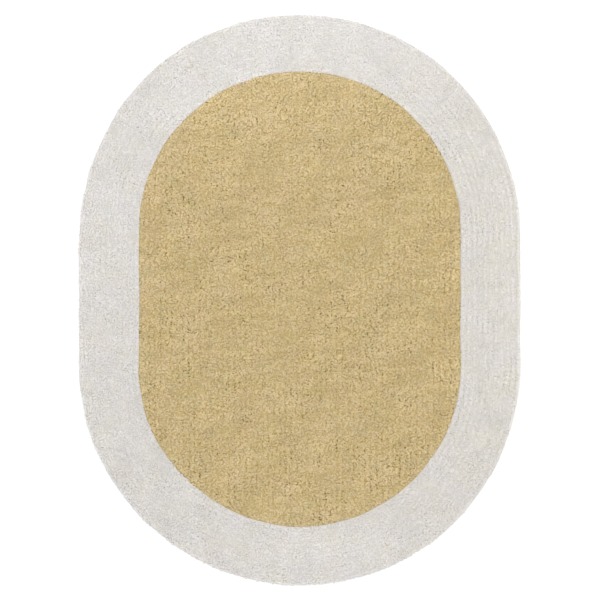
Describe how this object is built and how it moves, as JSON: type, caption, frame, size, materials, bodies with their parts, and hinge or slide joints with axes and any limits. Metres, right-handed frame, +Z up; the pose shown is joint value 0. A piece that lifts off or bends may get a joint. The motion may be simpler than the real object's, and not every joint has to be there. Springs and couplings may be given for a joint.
{
  "type": "oval kids rug",
  "caption": "Flat oval cotton rug with cut pile: a cream border ring round a mustard field, tufted into one base cloth.",
  "frame": {"origin": "on the floor under the middle of the rug's box", "axes": "+Z up out of the pile, +Y along the rug's long axis, +X to its right"},
  "size_m": [1.0026, 1.292, 0.015],
  "materials": {
    "cotton_canvas": "plain woven natural cotton, matte",
    "cream_pile": "cream cotton cut pile, soft and matte, in rows that follow the outline",
    "mustard_pile": "mustard cotton cut pile, soft and matte, in straight rows along the rug"
  },
  "bodies": {
    "root": {"base_cloth": "cotton_canvas", "border_pile": "cream_pile", "field_pile": "mustard_pile"}
  },
  "joints": []
}
